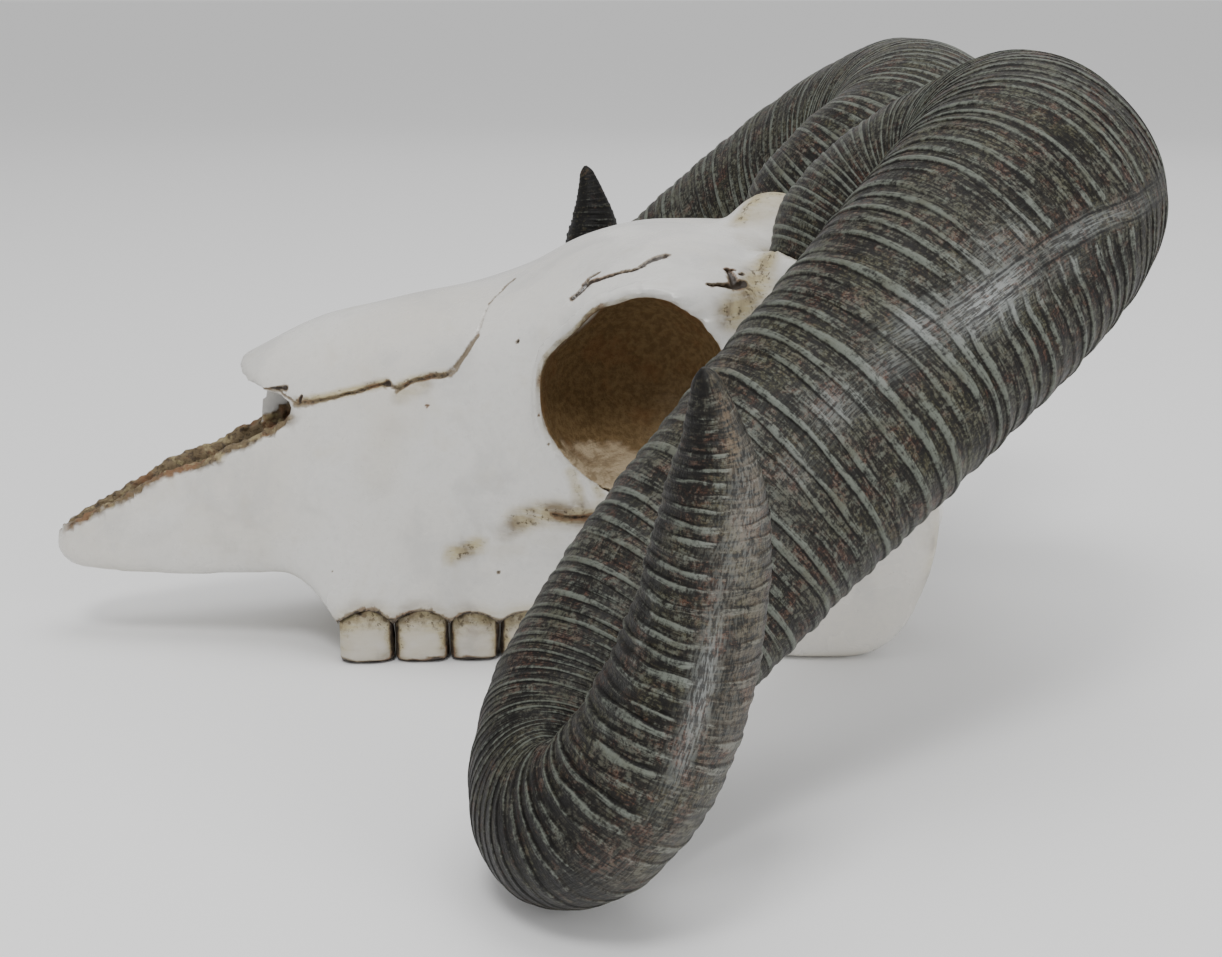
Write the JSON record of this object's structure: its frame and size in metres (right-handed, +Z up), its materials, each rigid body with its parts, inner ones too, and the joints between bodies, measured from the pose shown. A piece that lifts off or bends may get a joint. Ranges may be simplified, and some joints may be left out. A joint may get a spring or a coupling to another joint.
{
  "type": "ram skull replica",
  "caption": "Life-size cast replica of a ram's skull with heavy curled horns, lying on its cheek teeth, occiput and horn curls.",
  "frame": {"origin": "middle of the bounding box at the level of the surface the skull lies on", "axes": "-X towards the nose, -Y towards the animal's left, +Z up"},
  "size_m": [0.3307, 0.5078, 0.1887],
  "materials": {
    "cast_bone": "smooth cast resin painted as off-white bone, satin, with thin brown antiquing in the seams and hollows",
    "cast_horn": "cast resin painted charcoal, low sheen, dry-brushed grey-green on the growth ridges"
  },
  "bodies": {
    "root": {"skull": "cast_bone", "horn_left": "cast_horn", "horn_right": "cast_horn"}
  },
  "joints": []
}
